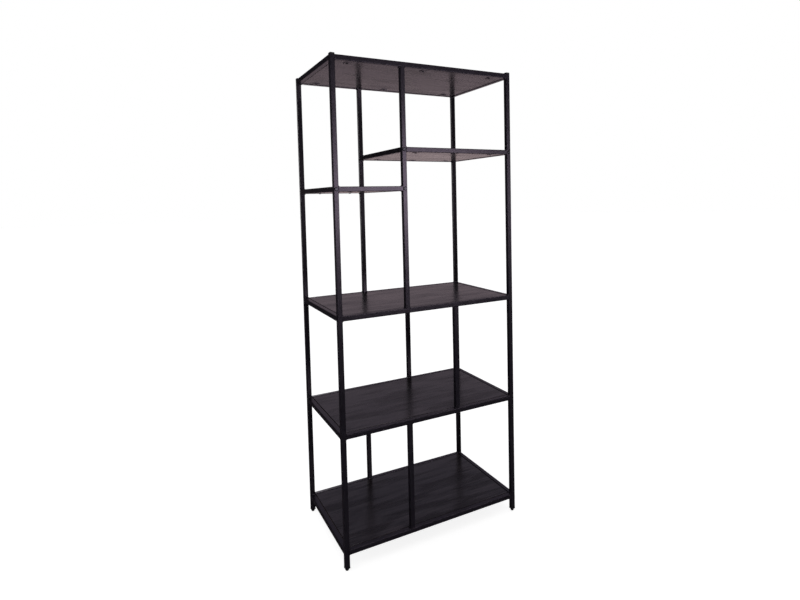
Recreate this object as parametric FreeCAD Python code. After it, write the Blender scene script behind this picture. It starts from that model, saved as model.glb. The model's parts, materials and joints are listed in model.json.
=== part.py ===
"""Open bookcase: a welded frame of black square steel tube with wood-grain boards set into it.

Millimetres. The origin is on the floor under the middle of the bookcase, +Z up. The front faces -Y,
and left and right are as seen from the front.
"""
import FreeCAD, Part
import os
from FreeCAD import Placement, Rotation, Vector

# Overall size
WIDTH = 750.0
DEPTH = 450.0

# Square tube: every post and rail is cut from the same section
TUBE = 18.0
WALL = 1.2
TUBE_CORNER_R = 2.0
BORE = TUBE - 2 * WALL

# Height of the top face of each level's rails
BOTTOM_SHELF_Z = 75.0
LOWER_SHELF_Z = 497.0
MIDDLE_SHELF_Z = 919.5
LEFT_HALF_SHELF_Z = 1372.0
RIGHT_HALF_SHELF_Z = 1515.0
TOP_Z = 1821.0

# Middle posts stand in two lines, off centre by the same amount left and right
MID_POST_OFFSET = 104.0

# Boards
BOARD_GAP = 3.0
BOARD_BELOW_RAIL_TOP = 0.5
BOARD_EDGE_R = 0.6
TAB_THICKNESS = 1.5
TAB_WIDTH = 22.0
TAB_REACH = 30.0
TAB_HOLE_INSET = 21.0
TAB_END_INSET = 75.0
TAB_HOLE_R = 2.4
BOARD_THICKNESS = TUBE - BOARD_BELOW_RAIL_TOP - TAB_THICKNESS

# Panel screws
SCREW_R = 2.0
SCREW_LENGTH = 10.0
SCREW_HEAD_R = 4.0
SCREW_HEAD_HEIGHT = 2.2
SCREW_HEAD_ROUND = 1.5

# The screws' cross recess
RECESS_WIDTH = 0.9
RECESS_SPAN = 4.2
RECESS_DEPTH = 1.2

# M6 bolts with low domed heads, and the threaded plugs they screw into
THREAD_R = 3.0
CLEARANCE_HOLE_R = 3.3
HEAD_R = 7.0
HEAD_HEIGHT = 3.0
HEAD_ROUND = 2.4
HEX_ACROSS_FLATS = 4.0
HEX_DEPTH = 1.8
THREAD_ENGAGEMENT = 14.0
PLUG_LENGTH = 18.0

# Fillet welds: their legs, how far their faces bulge, and their length along a joint
WELD_LEG = 5.0
INNER_WELD_LEG = 4.0
WELD_BULGE = 0.55
WELD_LENGTH = 13.0

# Feet: a threaded insert closes each leg, and a levelling foot screws into it
PAD_R = 5.6
PAD_HEIGHT = 9.2
PAD_TOP_R = 8.4
PAD_FLOOR_EDGE_R = 2.0
PAD_TOP_EDGE_R = 0.8
FOOT_GAP = 0.3
FLANGE_THICKNESS = 2.0
FLANGE_WIDTH = 19.4
FLANGE_CORNER_R = 2.8
INSERT_LENGTH = 16.0
STUD_R = 3.0
STUD_BORE_R = 3.05
STUD_LENGTH = 26.0
STUD_IN_PAD = 4.0

# Domed caps close the posts at the top
CAP_RISE = 5.5
CAP_ROUND = 3.0
CAP_PLUG_LENGTH = 14.0

# Derived places
LEFT_X = -WIDTH / 2 + TUBE / 2
RIGHT_X = -LEFT_X
FRONT_Y = -DEPTH / 2 + TUBE / 2
REAR_Y = -FRONT_Y
POST_BOTTOM_Z = PAD_HEIGHT + FOOT_GAP + FLANGE_THICKNESS
PLACES_Y = {"front": FRONT_Y, "rear": REAR_Y}
PLACES_X = {"left": LEFT_X, "right": RIGHT_X}
FULL_LEVELS = {
    "bottom": BOTTOM_SHELF_Z,
    "lower": LOWER_SHELF_Z,
    "middle": MIDDLE_SHELF_Z,
    "top": TOP_Z,
}
# Middle post pairs: name, place across the width, rail top below it, rail top above it
MID_POSTS = [
    ("lower", -MID_POST_OFFSET, BOTTOM_SHELF_Z, LOWER_SHELF_Z),
    ("middle", MID_POST_OFFSET, LOWER_SHELF_Z, MIDDLE_SHELF_Z),
    ("upper", -MID_POST_OFFSET, MIDDLE_SHELF_Z, TOP_Z),
]
# Half shelves: name, places of the posts left and right of it, rail top
HALF_SHELVES = [
    ("left_half", LEFT_X, -MID_POST_OFFSET, LEFT_HALF_SHELF_Z),
    ("right_half", -MID_POST_OFFSET, RIGHT_X, RIGHT_HALF_SHELF_Z),
]
UP = Vector(0, 0, 1)
DOWN = Vector(0, 0, -1)
RIGHT = Vector(1, 0, 0)
LEFT = Vector(-1, 0, 0)
BACK = Vector(0, 1, 0)
FORWARD = Vector(0, -1, 0)


def box_between(low, high):
    """Block between two opposite corners."""
    size = high - low
    return Part.makeBox(size.x, size.y, size.z, low)


def turned(shape, place, direction):
    """Copy of a shape built along +Z at the origin, moved to a place and pointed along a direction."""
    copy = shape.copy()
    copy.Placement = Placement(place, Rotation(UP, direction))
    return copy


def rod(place, direction, radius, length):
    """Solid cylinder from a place along a direction."""
    return Part.makeCylinder(radius, length, place, direction)


def prism(side, height, corner_radius):
    """Square prism with round corners, standing on the origin."""
    block = Part.makeBox(side, side, height, Vector(-side / 2, -side / 2, 0))
    upright = [edge for edge in block.Edges if edge.BoundBox.ZLength > height / 2]
    return block.makeFillet(corner_radius, upright)


def tube(start, direction, length):
    """Square tube, open at both ends, with its centre line from a start along a direction."""
    bore = prism(BORE, length, TUBE_CORNER_R - WALL)
    return turned(prism(TUBE, length, TUBE_CORNER_R).cut(bore), start, direction)


def centre_z(rail_top):
    """Height of a rail's centre line."""
    return rail_top - TUBE / 2


def bolt_hole(centre):
    """Cutter that passes through a post from front to rear at a point on its centre line."""
    return rod(centre + FORWARD * TUBE, BACK, CLEARANCE_HOLE_R, 2 * TUBE)


def domed_bolt(seat, direction):
    """M6 bolt: its head's underside is at the seat, and its shank points along the direction."""
    length = TUBE + THREAD_ENGAGEMENT
    head = Part.makeCylinder(HEAD_R, HEAD_HEIGHT, Vector(0, 0, -HEAD_HEIGHT))
    rim = [edge for edge in head.Edges if edge.BoundBox.ZMax < -HEAD_HEIGHT + 0.01]
    head = head.makeFillet(HEAD_ROUND, rim)
    corner = HEX_ACROSS_FLATS / 3 ** 0.5
    socket_outline = Part.makePolygon([
        Rotation(UP, 60 * side).multVec(Vector(corner, 0, -HEAD_HEIGHT)) for side in range(7)
    ])
    socket = Part.Face(socket_outline).extrude(UP * HEX_DEPTH)
    bolt = head.cut(socket).fuse(Part.makeCylinder(THREAD_R, length)).removeSplitter()
    return turned(bolt, seat, direction)


def end_plug(end, inward):
    """Threaded plug pressed into a tube's end, flush with it; inward points into the tube."""
    block = prism(BORE, PLUG_LENGTH, TUBE_CORNER_R - WALL)
    hole = Part.makeCylinder(THREAD_R, PLUG_LENGTH)
    return turned(block.cut(hole), end, inward)


def weld(corner, first, second, leg, length=WELD_LENGTH):
    """Fillet weld in a right-angled corner; first and second point along the two faces it joins."""
    along = first.cross(second)
    start = corner - along * (length / 2)
    foot = start + first * leg
    bulge = start + (first + second) * (leg * WELD_BULGE)
    top = start + second * leg
    outline = Part.Wire([
        Part.LineSegment(start, foot).toShape(),
        Part.Arc(foot, bulge, top).toShape(),
        Part.LineSegment(top, start).toShape(),
    ])
    return Part.Face(outline).extrude(along * length)


def end_welds(end, outward, sides):
    """Welds round a tube's end where it meets a face; sides point from its centre line to its own faces."""
    return [weld(end + side * (TUBE / 2), outward * -1, side, WELD_LEG) for side in sides]


def corner_post(side, face):
    """Full-height post for one corner, with a bolt hole where a half shelf's side rail meets it."""
    x = PLACES_X[side]
    y = PLACES_Y[face]
    post = tube(Vector(x, y, POST_BOTTOM_Z), UP, TOP_Z - POST_BOTTOM_Z)
    holes = [
        bolt_hole(Vector(x, y, centre_z(rail_top)))
        for name, left_x, right_x, rail_top in HALF_SHELVES
        if x in (left_x, right_x)
    ]
    return post.cut(holes)


def mid_post(name, x, rail_below, rail_above, face):
    """Post between two long rails. The upper one also takes the half shelves' bolts."""
    y = PLACES_Y[face]
    post = tube(Vector(x, y, rail_below), UP, rail_above - TUBE - rail_below)
    if name != "upper":
        return post
    levels = [LEFT_HALF_SHELF_Z, RIGHT_HALF_SHELF_Z]
    return post.cut([bolt_hole(Vector(x, y, centre_z(z))) for z in levels])


def long_rail(rail_top, face):
    """Rail across the full width between two corner posts."""
    start = Vector(LEFT_X + TUBE / 2, PLACES_Y[face], centre_z(rail_top))
    return tube(start, RIGHT, RIGHT_X - LEFT_X - TUBE)


def depth_rail(x, rail_top):
    """Rail from a front post to the rear post behind it."""
    start = Vector(x, FRONT_Y + TUBE / 2, centre_z(rail_top))
    return tube(start, BACK, REAR_Y - FRONT_Y - TUBE)


def half_rail(left_x, right_x, rail_top, face):
    """Front or rear rail of a half shelf."""
    start = Vector(left_x + TUBE / 2, PLACES_Y[face], centre_z(rail_top))
    return tube(start, RIGHT, right_x - left_x - TUBE)


def shelf_bays():
    """Every shelf: its name, the places of the posts either side of it, and its rail top."""
    return [(name, LEFT_X, RIGHT_X, z) for name, z in FULL_LEVELS.items()] + HALF_SHELVES


def tab_places(left_x, right_x):
    """Places along a shelf's width where the tabs sit: near both ends, and midway on a full shelf."""
    first = left_x - TUBE / 2 + TAB_END_INSET
    last = right_x + TUBE / 2 - TAB_END_INSET
    if right_x - left_x < WIDTH / 2:
        return [first, last]
    return [first, (first + last) / 2, last]


def screw_points(left_x, right_x, rail_top):
    """Centre of each tab's hole on the tab's underside."""
    z = rail_top - TUBE
    inset = TUBE / 2 + TAB_HOLE_INSET
    return [
        Vector(x, y, z)
        for x in tab_places(left_x, right_x)
        for y in (FRONT_Y + inset, REAR_Y - inset)
    ]


def board(left_x, right_x, rail_top):
    """Shelf board with softened edges and a pilot hole over each tab."""
    inset = TUBE / 2 + BOARD_GAP
    top = rail_top - BOARD_BELOW_RAIL_TOP
    low = Vector(left_x + inset, FRONT_Y + inset, top - BOARD_THICKNESS)
    high = Vector(right_x - inset, REAR_Y - inset, top)
    panel = box_between(low, high)
    panel = panel.makeFillet(BOARD_EDGE_R, panel.Edges)
    pilots = [
        rod(point + UP * TAB_THICKNESS, UP, SCREW_R, SCREW_LENGTH - TAB_THICKNESS)
        for point in screw_points(left_x, right_x, rail_top)
    ]
    return panel.cut(pilots)


def tabs(left_x, right_x, rail_top):
    """Steel tabs welded to the front and rear rails, flush with the rails' undersides."""
    z = rail_top - TUBE
    plates = []
    for x in tab_places(left_x, right_x):
        for y, inward in ((FRONT_Y, 1), (REAR_Y, -1)):
            rail_face = y + inward * TUBE / 2
            tip = rail_face + inward * TAB_REACH
            low = Vector(x - TAB_WIDTH / 2, min(rail_face, tip), z)
            high = Vector(x + TAB_WIDTH / 2, max(rail_face, tip), z + TAB_THICKNESS)
            hole_centre = Vector(x, rail_face + inward * TAB_HOLE_INSET, z)
            plates.append(box_between(low, high).cut(rod(hole_centre, UP, TAB_HOLE_R, TAB_THICKNESS)))
    return plates


def panel_screw(point):
    """Domed screw driven up through a tab into the board."""
    head = Part.makeCylinder(SCREW_HEAD_R, SCREW_HEAD_HEIGHT, Vector(0, 0, -SCREW_HEAD_HEIGHT))
    rim = [edge for edge in head.Edges if edge.BoundBox.ZMax < -SCREW_HEAD_HEIGHT + 0.01]
    head = head.makeFillet(SCREW_HEAD_ROUND, rim)
    for length, width in ((RECESS_SPAN, RECESS_WIDTH), (RECESS_WIDTH, RECESS_SPAN)):
        slot = Part.makeBox(length, width, RECESS_DEPTH, Vector(-length / 2, -width / 2, -SCREW_HEAD_HEIGHT))
        head = head.cut(slot)
    return turned(head.fuse(Part.makeCylinder(SCREW_R, SCREW_LENGTH)).removeSplitter(), point, UP)


def half_shelf_bolts():
    """Bolts through the posts into the ends of the half shelves' side rails."""
    bolts = []
    for name, left_x, right_x, rail_top in HALF_SHELVES:
        for x in (left_x, right_x):
            z = centre_z(rail_top)
            bolts.append(domed_bolt(Vector(x, FRONT_Y - TUBE / 2, z), BACK))
            bolts.append(domed_bolt(Vector(x, REAR_Y + TUBE / 2, z), FORWARD))
    return bolts


def half_shelf_plugs():
    """Threaded plugs in both ends of the half shelves' side rails."""
    plugs = []
    for name, left_x, right_x, rail_top in HALF_SHELVES:
        for x in (left_x, right_x):
            z = centre_z(rail_top)
            plugs.append(end_plug(Vector(x, FRONT_Y + TUBE / 2, z), BACK))
            plugs.append(end_plug(Vector(x, REAR_Y - TUBE / 2, z), FORWARD))
    return plugs


def rail_weld_sides(rail_top):
    """Faces of a rail that are welded to a post; the post ends level with the top rails."""
    return [DOWN] if rail_top == TOP_Z else [UP, DOWN]


def face_welds(face):
    """Welds of the front or the rear: rails to posts, and middle posts to long rails."""
    y = PLACES_Y[face]
    welds = []
    for name, left_x, right_x, rail_top in shelf_bays():
        z = centre_z(rail_top)
        sides = rail_weld_sides(rail_top)
        welds += end_welds(Vector(left_x + TUBE / 2, y, z), LEFT, sides)
        welds += end_welds(Vector(right_x - TUBE / 2, y, z), RIGHT, sides)
    for name, x, rail_below, rail_above in MID_POSTS:
        welds += end_welds(Vector(x, y, rail_below), DOWN, [LEFT, RIGHT])
        welds += end_welds(Vector(x, y, rail_above - TUBE), UP, [LEFT, RIGHT])
    return welds


def side_welds(side):
    """Welds of a side: its rails to the corner posts, and to the long rails in the inner corners."""
    x = PLACES_X[side]
    inward = RIGHT if side == "left" else LEFT
    welds = []
    for rail_top in FULL_LEVELS.values():
        z = centre_z(rail_top)
        sides = rail_weld_sides(rail_top)
        for y, outward in ((FRONT_Y + TUBE / 2, FORWARD), (REAR_Y - TUBE / 2, BACK)):
            end = Vector(x, y, z)
            welds += end_welds(end, outward, sides)
            welds.append(weld(end + inward * (TUBE / 2), inward, outward * -1, INNER_WELD_LEG))
    return welds


def post_cap():
    """Domed plastic cap with a plug that grips the inside of the post."""
    dome = prism(TUBE, CAP_RISE, TUBE_CORNER_R)
    rim = [edge for edge in dome.Edges if edge.BoundBox.ZMin > CAP_RISE - 0.01]
    dome = dome.makeFillet(CAP_ROUND, rim)
    plug = prism(BORE, CAP_PLUG_LENGTH, TUBE_CORNER_R - WALL)
    plug.translate(DOWN * CAP_PLUG_LENGTH)
    return dome.fuse(plug).removeSplitter()


def foot_insert():
    """Plastic insert with a flange under the leg's end and a thread for the foot's stud."""
    flange = prism(FLANGE_WIDTH, FLANGE_THICKNESS, FLANGE_CORNER_R)
    flange.translate(DOWN * FLANGE_THICKNESS)
    body = prism(BORE, INSERT_LENGTH, TUBE_CORNER_R - WALL)
    length = FLANGE_THICKNESS + INSERT_LENGTH
    bore = rod(DOWN * FLANGE_THICKNESS, UP, STUD_BORE_R, length)
    return flange.fuse(body).removeSplitter().cut(bore)


def foot_pad():
    """Round plastic pad, tapered towards the floor, with a socket for the stud."""
    pad = Part.makeCone(PAD_R, PAD_TOP_R, PAD_HEIGHT)
    floor_rim = [edge for edge in pad.Edges if edge.BoundBox.ZMax < 0.01]
    pad = pad.makeFillet(PAD_FLOOR_EDGE_R, floor_rim)
    top_rim = [edge for edge in pad.Edges if edge.BoundBox.ZMin > PAD_HEIGHT - 0.01]
    pad = pad.makeFillet(PAD_TOP_EDGE_R, top_rim)
    socket = rod(UP * (PAD_HEIGHT - STUD_IN_PAD), UP, STUD_R, STUD_IN_PAD)
    return pad.cut(socket)


def foot_stud():
    """Threaded stud fixed in the pad."""
    base = UP * (PAD_HEIGHT - STUD_IN_PAD)
    stud = rod(base, UP, STUD_R, STUD_LENGTH)
    tip = [edge for edge in stud.Edges if edge.BoundBox.ZMin > stud.BoundBox.ZMax - 0.01]
    return stud.makeChamfer(0.8, tip)


def at_corners(shape, z):
    """Copies of a shape under or over the four corner posts."""
    return [
        turned(shape, Vector(x, y, z), UP)
        for x in PLACES_X.values()
        for y in PLACES_Y.values()
    ]


def steel_frame_nodes():
    """Every tube of the frame, one solid to a node."""
    nodes = {}
    for face in PLACES_Y:
        for side in PLACES_X:
            nodes[f"corner_post_{face}_{side}"] = [corner_post(side, face)]
        for name, x, rail_below, rail_above in MID_POSTS:
            nodes[f"{name}_mid_post_{face}"] = [mid_post(name, x, rail_below, rail_above, face)]
        for name, rail_top in FULL_LEVELS.items():
            nodes[f"{name}_rail_{face}"] = [long_rail(rail_top, face)]
        for name, left_x, right_x, rail_top in HALF_SHELVES:
            nodes[f"{name}_rail_{face}"] = [half_rail(left_x, right_x, rail_top, face)]
    for name, left_x, right_x, rail_top in shelf_bays():
        nodes[f"{name}_side_rail_left"] = [depth_rail(left_x, rail_top)]
        nodes[f"{name}_side_rail_right"] = [depth_rail(right_x, rail_top)]
    return nodes


def board_nodes():
    """The six boards, and the tabs and screws that hold them."""
    nodes = {}
    all_tabs = []
    screws = []
    for name, left_x, right_x, rail_top in shelf_bays():
        nodes[f"{name}_board"] = [board(left_x, right_x, rail_top)]
        all_tabs += tabs(left_x, right_x, rail_top)
        screws += [panel_screw(point) for point in screw_points(left_x, right_x, rail_top)]
    nodes["board_tabs"] = all_tabs
    nodes["board_screws"] = screws
    return nodes


def fastener_nodes():
    """Welds, bolts, plugs, caps and leg inserts."""
    return {
        "welds_front": face_welds("front"),
        "welds_rear": face_welds("rear"),
        "welds_left": side_welds("left"),
        "welds_right": side_welds("right"),
        "half_shelf_bolts": half_shelf_bolts(),
        "half_shelf_plugs": half_shelf_plugs(),
        "post_caps": at_corners(post_cap(), TOP_Z),
        "leg_inserts": at_corners(foot_insert(), POST_BOTTOM_Z),
    }


def foot_nodes():
    """The four levelling feet, each a pad and a stud."""
    nodes = {}
    for face, y in PLACES_Y.items():
        for side, x in PLACES_X.items():
            place = Vector(x, y, 0)
            nodes[f"foot_pad_{face}_{side}"] = [turned(foot_pad(), place, UP)]
            nodes[f"foot_stud_{face}_{side}"] = [turned(foot_stud(), place, UP)]
    return nodes


def write(nodes):
    """Write one STEP file for each node."""
    os.makedirs("parts", exist_ok=True)
    for name, solids in nodes.items():
        shape = solids[0] if len(solids) == 1 else Part.makeCompound(solids)
        if not shape.isValid():
            raise ValueError(f"{name} is not valid")
        shape.exportStep(f"parts/{name}.step")


write(steel_frame_nodes() | board_nodes() | fastener_nodes() | foot_nodes())
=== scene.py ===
import json
import math
import random

import bmesh
import bpy
from mathutils import Matrix, Vector

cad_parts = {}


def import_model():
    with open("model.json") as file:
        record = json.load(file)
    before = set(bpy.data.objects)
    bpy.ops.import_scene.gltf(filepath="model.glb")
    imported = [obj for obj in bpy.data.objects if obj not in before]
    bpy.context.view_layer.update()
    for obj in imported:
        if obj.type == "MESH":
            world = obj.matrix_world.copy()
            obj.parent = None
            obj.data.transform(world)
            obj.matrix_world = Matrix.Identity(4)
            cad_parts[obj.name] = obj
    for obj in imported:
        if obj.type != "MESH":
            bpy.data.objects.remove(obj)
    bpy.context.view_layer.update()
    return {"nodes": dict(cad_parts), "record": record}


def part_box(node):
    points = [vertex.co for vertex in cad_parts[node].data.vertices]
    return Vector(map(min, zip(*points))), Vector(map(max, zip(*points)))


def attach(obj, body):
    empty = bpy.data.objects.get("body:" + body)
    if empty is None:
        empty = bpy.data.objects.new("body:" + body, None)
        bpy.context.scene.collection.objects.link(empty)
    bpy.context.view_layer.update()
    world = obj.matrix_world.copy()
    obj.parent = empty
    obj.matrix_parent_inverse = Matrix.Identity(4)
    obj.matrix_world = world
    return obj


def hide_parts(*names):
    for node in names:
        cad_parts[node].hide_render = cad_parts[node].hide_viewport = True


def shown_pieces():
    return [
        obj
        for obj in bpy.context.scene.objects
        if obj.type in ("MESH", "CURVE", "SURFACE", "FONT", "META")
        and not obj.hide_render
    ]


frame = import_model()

# The bookcase's looks: materials for the CAD tubes and boards, rippled welds, threaded feet, light and
# camera. Metres, in the CAD frame: +Z up, the front faces -Y.

NODES = frame["nodes"]
MM = 0.001

# Weld beads: stations along a bead and steps round its face
BEAD_STATIONS = 40
BEAD_ARC = 8
# The crescents: how many, how much that varies, their height, and how far their middle lags behind their ends
BEAD_RIPPLES = 8.0
BEAD_RIPPLE_SPREAD = 0.6
BEAD_RIPPLE_HEIGHT = 0.085
BEAD_RIPPLE_LAG = 0.42
# The section, as shares of a bead's legs: how deep it sinks in, how far its face bulges, the smallest swell
BEAD_SINK = 0.03
BEAD_BULGE = 0.07
BEAD_SWELL = 0.94
# The rounded ends: how much of the run they leave, and how blunt they are
BEAD_END_REACH = 0.985
BEAD_END_POWER = 7

# M6 thread of the levelling studs
THREAD_PITCH = 1.0 * MM
THREAD_CREST_R = 3.0 * MM
THREAD_ROOT_R = 2.45 * MM
THREAD_END_CHAMFER = 0.5 * MM
THREAD_ROWS = 8
THREAD_COLUMNS = 32
# The thread's profile, in depths of thread: its height at the middle of a turn before the crest is cut flat,
# and how fast it falls away to the root, per pitch
THREAD_FLANK_TOP = 1.35
THREAD_FLANK_SLOPE = 2.7

# Camera: in front and to the left, a little above the middle
CAMERA_PLACE = (-0.9642, -2.0186, 1.3223)
CAMERA_LENS = 24.32
CAMERA_SHIFT = (-0.0462, -0.0881)
CAMERA_YAW = 0.5040
CAMERA_PITCH = -0.0565
CAMERA_ROLL = -0.0205
CAMERA_REACH = 200.0

# Front soft box. The posts at the back take a small share of its light.
FRONT_PLACE = (1.15, -3.06, 1.40)
FRONT_TARGET = (0.15, 0.0, 1.32)
FRONT_SIZE = (1.7, 0.8)
FRONT_POWER = 33.0
FRONT_COLOUR = (1.0, 0.97, 1.0)
REAR_POSTS = ("corner_post_rear", "lower_mid_post_rear", "middle_mid_post_rear", "upper_mid_post_rear")
REAR_SHARE = 0.13

# Dimmer boxes for the other sides, all aimed at the middle of the bookcase
OTHER_TARGET = (0.0, 0.0, 1.0)
RIGHT_PLACE = (3.4, 0.3, 1.5)
LEFT_PLACE = (-3.4, 0.5, 1.5)
BACK_PLACE = (-0.2, 3.4, 1.5)
SIDE_SIZE = (1.2, 1.8)
BACK_SIZE = (1.6, 1.8)
RIGHT_POWER = 11.0
LEFT_POWER = 12.0
BACK_POWER = 16.0

# Broad light from above
OVERHEAD_DIRECTION = (0.15, 0.1, -1.0)
OVERHEAD_POWER = 1.0
OVERHEAD_SPREAD = math.radians(70)

# Floor and backdrop
FLOOR_R = 40.0
FLOOR_DROP = 0.5 * MM
FLOOR_GREY = 0.55
FLOOR_ROUGHNESS = 0.9
FLOOR_GLOW = 0.88
BACKDROP_R = 45.0

# Studio surround: the direction of its bright band, how far the band reaches, and its colours by height
# (0 straight down, 0.5 level, 1 straight up)
BAND_AZIMUTH = math.radians(35)
BAND_EDGE = 0.70
BAND_FULL = 0.94
BAND_FLOOR = 0.05
BAND_COLOURS = [
    (0.20, (0.42, 0.34, 0.37)),
    (0.33, (0.30, 0.24, 0.27)),
    (0.39, (0.145, 0.112, 0.139)),
    (0.42, (0.37, 0.290, 0.338)),
    (0.468, (0.98, 0.775, 0.745)),
    (0.50, (0.50, 0.395, 0.405)),
    (0.585, (0.29, 0.229, 0.258)),
    (0.68, (0.245, 0.215, 0.268)),
    (0.75, (0.215, 0.207, 0.268)),
    (0.92, (0.09, 0.085, 0.105)),
]


# Material helpers

def new_material(name):
    """Empty node material with its output and a Principled shader already joined."""
    material = bpy.data.materials.new(name)
    material.use_nodes = True
    tree = material.node_tree
    tree.nodes.clear()
    output = tree.nodes.new("ShaderNodeOutputMaterial")
    shader = tree.nodes.new("ShaderNodeBsdfPrincipled")
    tree.links.new(shader.outputs["BSDF"], output.inputs["Surface"])
    return material, tree, shader


def noise(tree, vector, scale, detail=3.0, roughness=0.5, distortion=0.0):
    """Factor output of a noise texture."""
    node = tree.nodes.new("ShaderNodeTexNoise")
    node.inputs["Scale"].default_value = scale
    node.inputs["Detail"].default_value = detail
    node.inputs["Roughness"].default_value = roughness
    node.inputs["Distortion"].default_value = distortion
    tree.links.new(vector, node.inputs["Vector"])
    return node.outputs["Fac"]


def object_space(tree, scale=(1, 1, 1), offset=(0, 0, 0)):
    """Object coordinates, stretched and shifted."""
    source = tree.nodes.new("ShaderNodeTexCoord")
    mapping = tree.nodes.new("ShaderNodeMapping")
    mapping.inputs["Scale"].default_value = scale
    mapping.inputs["Location"].default_value = offset
    tree.links.new(source.outputs["Object"], mapping.inputs["Vector"])
    return mapping.outputs["Vector"]


def spread(tree, value, low, high):
    """A 0 to 1 value spread over another range."""
    node = tree.nodes.new("ShaderNodeMapRange")
    node.inputs["To Min"].default_value = low
    node.inputs["To Max"].default_value = high
    tree.links.new(value, node.inputs["Value"])
    return node.outputs["Result"]


def spread_from(tree, value, low, high):
    """A value brought from another range to 0 to 1."""
    node = tree.nodes.new("ShaderNodeMapRange")
    node.inputs["From Min"].default_value = low
    node.inputs["From Max"].default_value = high
    tree.links.new(value, node.inputs["Value"])
    return node.outputs["Result"]


def ramp(tree, value, stops):
    """Colour ramp through (position, colour) stops."""
    node = tree.nodes.new("ShaderNodeValToRGB")
    elements = node.color_ramp.elements
    while len(elements) < len(stops):
        elements.new(0.5)
    for element, (position, colour) in zip(elements, stops):
        element.position = position
        element.color = (*colour, 1.0)
    tree.links.new(value, node.inputs["Fac"])
    return node.outputs["Color"]


def bump(tree, height, distance, under=None):
    """Bump normal from a height; under is the normal that it is added to."""
    node = tree.nodes.new("ShaderNodeBump")
    node.inputs["Strength"].default_value = 1.0
    node.inputs["Distance"].default_value = distance
    tree.links.new(height, node.inputs["Height"])
    if under is not None:
        tree.links.new(under, node.inputs["Normal"])
    return node.outputs["Normal"]


def mixed(tree, factor, first, second, blend="MIX"):
    """Two colours or values mixed by a number."""
    node = tree.nodes.new("ShaderNodeMix")
    node.data_type = "RGBA"
    node.blend_type = blend
    node.inputs["Factor"].default_value = factor
    tree.links.new(first, node.inputs["A"])
    tree.links.new(second, node.inputs["B"])
    return node.outputs["Result"]


# Materials

def powder_coat():
    """Black semi-gloss powder coat: fine orange peel, slow waviness and a faint uneven gloss."""
    material, tree, shader = new_material("powder_coat_black")
    space = object_space(tree)
    cloud = noise(tree, space, 34.0, detail=4.0)
    colour = ramp(tree, cloud, [(0.25, (0.0050, 0.0045, 0.0068)), (0.75, (0.0084, 0.0075, 0.0110))])
    tree.links.new(colour, shader.inputs["Base Color"])
    tree.links.new(spread(tree, cloud, 0.27, 0.37), shader.inputs["Roughness"])
    peel = noise(tree, space, 900.0, detail=2.0)
    waves = noise(tree, space, 260.0, detail=2.0)
    normal = bump(tree, waves, 0.00006)
    tree.links.new(bump(tree, peel, 0.00002, under=normal), shader.inputs["Normal"])
    shader.inputs["IOR"].default_value = 1.45
    shader.inputs["Specular Tint"].default_value = (0.95, 0.785, 1.0, 1.0)
    return material


def wood_laminate(seed):
    """Dark wood-grain melamine: short pinkish streaks over a broad figure, fine fibres and a satin face."""
    material, tree, shader = new_material(f"wood_laminate_{seed}")
    shift = (seed * 1.37, seed * 0.61, seed * 2.11)
    figure = noise(tree, object_space(tree, (5.5, 31.0, 31.0), shift), 1.0, 3.0, 0.5, 0.5)
    streaks = noise(tree, object_space(tree, (6.5, 105.0, 105.0), shift), 1.0, 5.0, 0.62, 0.3)
    fibres = noise(tree, object_space(tree, (22.0, 560.0, 560.0), shift), 1.0, 3.0, 0.6)
    pores = noise(tree, object_space(tree, (90.0, 1500.0, 1500.0), shift), 1.0, 2.0)
    base = ramp(tree, figure, [(0.32, (0.015, 0.0125, 0.0150)), (0.70, (0.027, 0.0215, 0.0245))])
    grain = ramp(tree, streaks, [
        (0.36, (0.55, 0.54, 0.57)),
        (0.50, (0.95, 0.93, 0.95)),
        (0.64, (1.55, 1.42, 1.42)),
    ])
    fine = ramp(tree, fibres, [(0.35, (0.78, 0.77, 0.77)), (0.65, (1.18, 1.16, 1.16))])
    colour = mixed(tree, 1.0, mixed(tree, 1.0, base, grain, "MULTIPLY"), fine, "MULTIPLY")
    tree.links.new(colour, shader.inputs["Base Color"])
    both = mixed(tree, 0.70, streaks, figure)
    glint = ramp(tree, both, [
        (0.42, (0.14, 0.14, 0.16)),
        (0.50, (0.66, 0.65, 0.68)),
        (0.56, (1.0, 0.96, 0.95)),
    ])
    tree.links.new(glint, shader.inputs["Specular Tint"])
    tree.links.new(spread(tree, both, 0.42, 0.08), shader.inputs["Roughness"])
    normal = bump(tree, streaks, 0.00008)
    tree.links.new(bump(tree, pores, 0.00004, under=normal), shader.inputs["Normal"])
    shader.inputs["IOR"].default_value = 1.5
    return material


def moulded_plastic():
    """Black moulded polyethylene with a fine spark-eroded texture."""
    material, tree, shader = new_material("moulded_plastic_black")
    space = object_space(tree)
    speckle = noise(tree, space, 2600.0, detail=2.0)
    cloud = noise(tree, space, 120.0)
    tree.links.new(ramp(tree, cloud, [(0.3, (0.007, 0.007, 0.008)), (0.7, (0.013, 0.013, 0.014))]),
                   shader.inputs["Base Color"])
    tree.links.new(spread(tree, speckle, 0.48, 0.66), shader.inputs["Roughness"])
    tree.links.new(bump(tree, speckle, 0.00005), shader.inputs["Normal"])
    return material


def black_zinc():
    """Dark plated steel of the bolts and screws, with an uneven gloss and a fine grain."""
    material, tree, shader = new_material("black_zinc_steel")
    space = object_space(tree)
    cloud = noise(tree, space, 420.0, detail=4.0)
    tree.links.new(ramp(tree, cloud, [(0.3, (0.022, 0.020, 0.025)), (0.7, (0.042, 0.039, 0.047))]),
                   shader.inputs["Base Color"])
    tree.links.new(spread(tree, cloud, 0.20, 0.34), shader.inputs["Roughness"])
    tree.links.new(bump(tree, noise(tree, space, 2400.0), 0.00002), shader.inputs["Normal"])
    shader.inputs["Metallic"].default_value = 1.0
    return material


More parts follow.
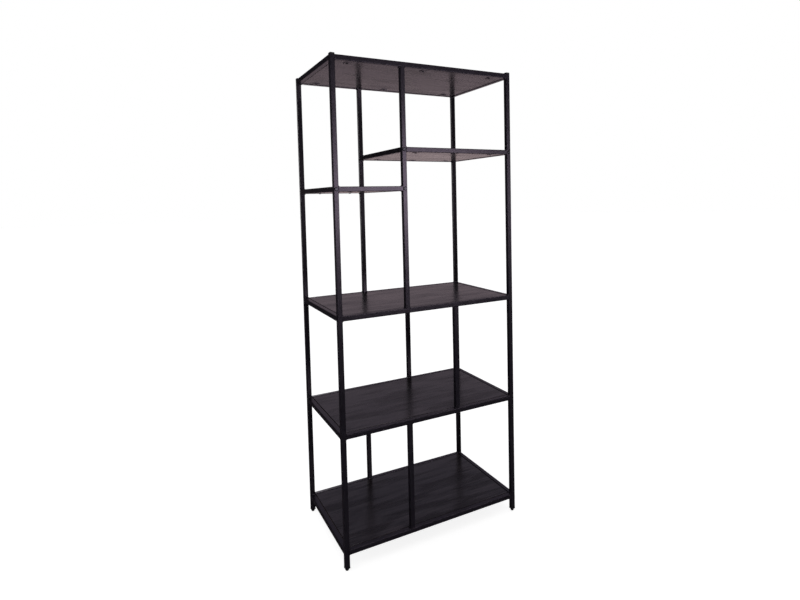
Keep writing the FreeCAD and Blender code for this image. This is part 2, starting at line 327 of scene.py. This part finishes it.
def bright_zinc():
    """Bright zinc plate of the levelling studs and threaded plugs."""
    material, tree, shader = new_material("bright_zinc_steel")
    space = object_space(tree)
    cloud = noise(tree, space, 300.0, detail=5.0)
    tree.links.new(ramp(tree, cloud, [(0.3, (0.42, 0.44, 0.46)), (0.7, (0.62, 0.63, 0.62))]),
                   shader.inputs["Base Color"])
    tree.links.new(spread(tree, cloud, 0.24, 0.40), shader.inputs["Roughness"])
    tree.links.new(bump(tree, noise(tree, space, 2000.0), 0.00002), shader.inputs["Normal"])
    shader.inputs["Metallic"].default_value = 1.0
    return material


def paint(piece, material):
    """Give a piece or CAD node one material."""
    piece.data.materials.clear()
    piece.data.materials.append(material)


# Pieces

def new_piece(name, mesh_builder, material, body, replaced):
    """Finish a bmesh as a piece that rides on a body and stands for CAD nodes."""
    mesh = bpy.data.meshes.new(name)
    mesh_builder.to_mesh(mesh)
    mesh_builder.free()
    piece = bpy.data.objects.new(name, mesh)
    bpy.context.scene.collection.objects.link(piece)
    paint(piece, material)
    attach(piece, body)
    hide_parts(*replaced)
    return piece


def loose_parts(mesh):
    """Vertex places of each separate solid in a mesh."""
    builder = bmesh.new()
    builder.from_mesh(mesh)
    bmesh.ops.remove_doubles(builder, verts=builder.verts, dist=0.00001)
    seen = set()
    parts = []
    for start in builder.verts:
        if start.index in seen:
            continue
        seen.add(start.index)
        stack = [start]
        places = []
        while stack:
            vertex = stack.pop()
            places.append(vertex.co.copy())
            for edge in vertex.link_edges:
                other = edge.other_vert(vertex)
                if other.index not in seen:
                    seen.add(other.index)
                    stack.append(other)
        parts.append(places)
    builder.free()
    return parts


def weld_frame(places):
    """A bead's corner line and its directions, from the places of the CAD bead's vertices."""
    low = Vector([min(place[axis] for place in places) for axis in range(3)])
    high = Vector([max(place[axis] for place in places) for axis in range(3)])
    size = high - low
    along = max(range(3), key=lambda axis: size[axis])
    first, second = [axis for axis in range(3) if axis != along]

    def reach(first_end, second_end):
        """Distance from a corner of the bead's outline to its nearest vertex."""
        return min(
            math.hypot(place[first] - first_end[first], place[second] - second_end[second])
            for place in places
        )

    ends = ((low, high), (high, low))
    missing = max(
        ((a, b) for a in ends for b in ends),
        key=lambda pair: reach(pair[0][0], pair[1][0]),
    )
    corner = low.copy()
    corner[first] = missing[0][1][first]
    corner[second] = missing[1][1][second]
    to_first = Vector((0, 0, 0))
    to_first[first] = missing[0][0][first] - corner[first]
    to_second = Vector((0, 0, 0))
    to_second[second] = missing[1][0][second] - corner[second]
    run = Vector((0, 0, 0))
    run[along] = size[along]
    return corner, run, to_first, to_second


def add_bead(builder, places, rng):
    """Rippled fillet bead: overlapping crescents along its run, and rounded ends."""
    corner, run, to_first, to_second = weld_frame(places)
    if rng.random() < 0.5:
        corner, run = corner + run, -run
    sink = (to_first + to_second) * -BEAD_SINK
    ripples = BEAD_RIPPLES + rng.uniform(-BEAD_RIPPLE_SPREAD, BEAD_RIPPLE_SPREAD)
    phase = rng.random()
    swell = rng.uniform(BEAD_SWELL, 1.0)
    rings = []
    for station in range(BEAD_STATIONS + 1):
        share = station / BEAD_STATIONS
        off_middle = abs(2 * share - 1)
        taper = math.sqrt(1 - (BEAD_END_REACH * off_middle) ** BEAD_END_POWER)
        centre = corner + run * share + sink
        ring = [builder.verts.new(centre)]
        for step in range(BEAD_ARC + 1):
            angle = math.pi / 2 * step / BEAD_ARC
            bow = math.sin(2 * angle)
            wave = (share * ripples + phase - BEAD_RIPPLE_LAG * bow) % 1.0
            crest = BEAD_RIPPLE_HEIGHT * (1 - wave) * bow
            chord = 1 / (math.cos(angle) + math.sin(angle))
            reach = swell * taper * (chord * (1 + BEAD_BULGE * bow) + crest)
            outward = to_first * (math.cos(angle) * reach) + to_second * (math.sin(angle) * reach)
            ring.append(builder.verts.new(centre + outward))
        rings.append(ring)
    for near_ring, far_ring in zip(rings, rings[1:]):
        for index in range(len(near_ring)):
            after = (index + 1) % len(near_ring)
            builder.faces.new((near_ring[index], near_ring[after], far_ring[after], far_ring[index]))
    builder.faces.new(reversed(rings[0]))
    builder.faces.new(rings[-1])


def weld_piece(node_name, material):
    """Every bead of one face of the frame."""
    rng = random.Random(node_name)
    builder = bmesh.new()
    for places in loose_parts(NODES[node_name].data):
        add_bead(builder, places, rng)
    bmesh.ops.recalc_face_normals(builder, faces=builder.faces)
    for face in builder.faces:
        face.smooth = len(face.verts) == 4
    return new_piece(
        f"{node_name}_rippled", builder, material, "bookcase", [node_name])


def turned_grid(builder, centre, rows, columns, radius_at):
    """Closed turned body: rows of heights, and a radius for each height and angle."""
    rings = []
    for height in rows:
        ring = []
        for column in range(columns):
            angle = 2 * math.pi * column / columns
            radius = radius_at(height, angle)
            ring.append(builder.verts.new(
                centre + Vector((radius * math.cos(angle), radius * math.sin(angle), height))))
        rings.append(ring)
    for low_ring, high_ring in zip(rings, rings[1:]):
        for column in range(columns):
            after = (column + 1) % columns
            builder.faces.new((low_ring[column], low_ring[after], high_ring[after], high_ring[column]))
    builder.faces.new(reversed(rings[0]))
    builder.faces.new(rings[-1])


def stud_piece(foot, material):
    """Levelling stud with a helical M6 thread."""
    node_name = f"foot_stud_{foot}"
    low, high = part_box(node_name)
    centre = Vector(((low[0] + high[0]) / 2, (low[1] + high[1]) / 2, 0.0))
    bottom, top = low[2], high[2]
    count = round((top - bottom) / (THREAD_PITCH / THREAD_ROWS))
    rows = [bottom + (top - bottom) * index / count for index in range(count + 1)]

    def radius_at(height, angle):
        """Crest and root of the thread, run out at both ends."""
        turn = (height / THREAD_PITCH - angle / (2 * math.pi)) % 1.0
        rise = max(0.0, min(1.0, THREAD_FLANK_TOP - THREAD_FLANK_SLOPE * abs(turn - 0.5)))
        radius = THREAD_ROOT_R + (THREAD_CREST_R - THREAD_ROOT_R) * rise
        from_end = min(height - bottom, top - height)
        return min(radius, THREAD_ROOT_R - THREAD_END_CHAMFER + from_end)

    builder = bmesh.new()
    turned_grid(builder, centre, rows, THREAD_COLUMNS, radius_at)
    bmesh.ops.recalc_face_normals(builder, faces=builder.faces)
    for face in builder.faces:
        face.smooth = len(face.verts) == 4
    return new_piece(
        f"foot_stud_{foot}_threaded", builder, material, f"foot_{foot}", [node_name])


# Light, floor and camera

def look_along(piece, direction, roll=0.0):
    """Turn a camera or light to face a direction, with +Z up and then a roll about its view."""
    forward = Vector(direction).normalized()
    right = forward.cross(Vector((0, 0, 1))).normalized()
    up = right.cross(forward)
    turned_right = math.cos(roll) * right + math.sin(roll) * up
    turned_up = -math.sin(roll) * right + math.cos(roll) * up
    rotation = Matrix((turned_right, turned_up, -forward)).transposed()
    piece.rotation_euler = rotation.to_euler()


def area_light(name, place, target, size, power, colour=(1, 1, 1)):
    """Soft box aimed at a target."""
    data = bpy.data.lights.new(name, "AREA")
    data.shape = "RECTANGLE"
    data.size, data.size_y = size
    data.energy = power
    data.color = colour
    light = bpy.data.objects.new(name, data)
    bpy.context.scene.collection.objects.link(light)
    light.location = place
    look_along(light, Vector(target) - Vector(place))
    return light


def camera():
    """Camera at the chosen viewing angle."""
    data = bpy.data.cameras.new("camera")
    data.sensor_width = 36.0
    data.lens = CAMERA_LENS
    data.shift_x, data.shift_y = CAMERA_SHIFT
    data.clip_end = CAMERA_REACH
    piece = bpy.data.objects.new("camera", data)
    bpy.context.scene.collection.objects.link(piece)
    piece.location = CAMERA_PLACE
    level = math.cos(CAMERA_PITCH)
    direction = (math.sin(CAMERA_YAW) * level, math.cos(CAMERA_YAW) * level, math.sin(CAMERA_PITCH))
    look_along(piece, direction, roll=CAMERA_ROLL)
    bpy.context.scene.camera = piece


def emitter(name, colour, strength):
    """Plain emission material for the backdrop."""
    material = bpy.data.materials.new(name)
    material.use_nodes = True
    tree = material.node_tree
    tree.nodes.clear()
    output = tree.nodes.new("ShaderNodeOutputMaterial")
    glow = tree.nodes.new("ShaderNodeEmission")
    glow.inputs["Color"].default_value = (*colour, 1.0)
    glow.inputs["Strength"].default_value = strength
    tree.links.new(glow.outputs["Emission"], output.inputs["Surface"])
    return material


def backdrop():
    """White surround, seen by the camera only, so that it doesn't fill the gloss of the black frame."""
    builder = bmesh.new()
    bmesh.ops.create_uvsphere(builder, u_segments=48, v_segments=24, radius=BACKDROP_R)
    mesh = bpy.data.meshes.new("backdrop")
    builder.to_mesh(mesh)
    builder.free()
    piece = bpy.data.objects.new("backdrop", mesh)
    bpy.context.scene.collection.objects.link(piece)
    paint(piece, emitter("backdrop_white", (1, 1, 1), 1.0))
    piece.visible_diffuse = False
    piece.visible_glossy = False
    piece.visible_shadow = False


def floor():
    """Plain pale floor that takes the soft shadows."""
    builder = bmesh.new()
    bmesh.ops.create_circle(builder, cap_ends=True, segments=64, radius=FLOOR_R)
    mesh = bpy.data.meshes.new("floor")
    builder.to_mesh(mesh)
    builder.free()
    piece = bpy.data.objects.new("floor", mesh)
    bpy.context.scene.collection.objects.link(piece)
    material, _, shader = new_material("floor_white")
    shader.inputs["Base Color"].default_value = (FLOOR_GREY, FLOOR_GREY, FLOOR_GREY, 1.0)
    shader.inputs["Roughness"].default_value = FLOOR_ROUGHNESS
    shader.inputs["Emission Color"].default_value = (1, 1, 1, 1)
    shader.inputs["Emission Strength"].default_value = FLOOR_GLOW
    paint(piece, material)
    piece.location = (0, 0, -FLOOR_DROP)
    piece.visible_glossy = False


def world():
    """Dim studio surround: a band behind and to the right that the boards mirror, nearly dark elsewhere."""
    surround = bpy.data.worlds.new("studio")
    bpy.context.scene.world = surround
    surround.use_nodes = True
    tree = surround.node_tree
    tree.nodes.clear()
    output = tree.nodes.new("ShaderNodeOutputWorld")
    background = tree.nodes.new("ShaderNodeBackground")
    source = tree.nodes.new("ShaderNodeTexCoord")
    parts = tree.nodes.new("ShaderNodeSeparateXYZ")
    tree.links.new(source.outputs["Generated"], parts.inputs["Vector"])
    by_height = ramp(tree, spread_from(tree, parts.outputs["Z"], -1.0, 1.0), BAND_COLOURS)
    level = tree.nodes.new("ShaderNodeVectorMath")
    level.operation = "MULTIPLY"
    level.inputs[1].default_value = (1.0, 1.0, 0.0)
    heading = tree.nodes.new("ShaderNodeVectorMath")
    heading.operation = "NORMALIZE"
    towards = tree.nodes.new("ShaderNodeVectorMath")
    towards.operation = "DOT_PRODUCT"
    towards.inputs[1].default_value = (math.sin(BAND_AZIMUTH), math.cos(BAND_AZIMUTH), 0.0)
    tree.links.new(source.outputs["Generated"], level.inputs[0])
    tree.links.new(level.outputs["Vector"], heading.inputs[0])
    tree.links.new(heading.outputs["Vector"], towards.inputs[0])
    across = tree.nodes.new("ShaderNodeMapRange")
    across.interpolation_type = "SMOOTHSTEP"
    across.inputs["From Min"].default_value = BAND_EDGE
    across.inputs["From Max"].default_value = BAND_FULL
    across.inputs["To Min"].default_value = BAND_FLOOR
    across.inputs["To Max"].default_value = 1.0
    tree.links.new(towards.outputs["Value"], across.inputs["Value"])
    tree.links.new(by_height, background.inputs["Color"])
    tree.links.new(across.outputs["Result"], background.inputs["Strength"])
    tree.links.new(background.outputs["Background"], output.inputs["Surface"])


def light_only(light, pieces):
    """Keep a light to some pieces."""
    lit = bpy.data.collections.new(light.name + "_lit")
    for piece in pieces:
        lit.objects.link(piece)
    light.light_linking.receiver_collection = lit


def lights():
    """A soft box in front at chest height, dim boxes for the other sides and a broad overhead fill."""
    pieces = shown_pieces()
    rear_posts = [piece for piece in pieces if piece.name.startswith(REAR_POSTS)]
    others = [piece for piece in pieces if piece not in rear_posts]
    for name, power, lit in (("front_box", FRONT_POWER, others),
                             ("front_box_far", FRONT_POWER * REAR_SHARE, rear_posts)):
        box = area_light(name, FRONT_PLACE, FRONT_TARGET, FRONT_SIZE, power, FRONT_COLOUR)
        light_only(box, lit)
    area_light("right_box", RIGHT_PLACE, OTHER_TARGET, SIDE_SIZE, RIGHT_POWER)
    area_light("left_box", LEFT_PLACE, OTHER_TARGET, SIDE_SIZE, LEFT_POWER)
    back = area_light("back_box", BACK_PLACE, OTHER_TARGET, BACK_SIZE, BACK_POWER)
    light_only(back, [piece for piece in pieces if "rear" in piece.name])
    data = bpy.data.lights.new("overhead", "SUN")
    data.energy = OVERHEAD_POWER
    data.angle = OVERHEAD_SPREAD
    sun = bpy.data.objects.new("overhead", data)
    bpy.context.scene.collection.objects.link(sun)
    look_along(sun, OVERHEAD_DIRECTION)


def finish_nodes():
    """Materials for every CAD node that is shown."""
    by_slot = {
        "powder_coated_steel": powder_coat(),
        "black_plastic": moulded_plastic(),
        "black_fastener_steel": black_zinc(),
        "zinc_plated_steel": bright_zinc(),
    }
    boards = 0
    for entry in frame["record"]["subparts"]:
        slot = entry["material_slot"]
        if slot == "wood_grain_board":
            boards += 1
            paint(NODES[entry["node"]], wood_laminate(boards))
        else:
            paint(NODES[entry["node"]], by_slot[slot])
    return by_slot


MATERIALS = finish_nodes()
for face in ("front", "rear", "left", "right"):
    weld_piece(f"welds_{face}", MATERIALS["powder_coated_steel"])
for foot in ("front_left", "front_right", "rear_left", "rear_right"):
    stud_piece(foot, MATERIALS["zinc_plated_steel"])
camera()
world()
lights()
backdrop()
floor()
scene = bpy.context.scene
scene.view_settings.view_transform = "Standard"
scene.view_settings.look = "None"
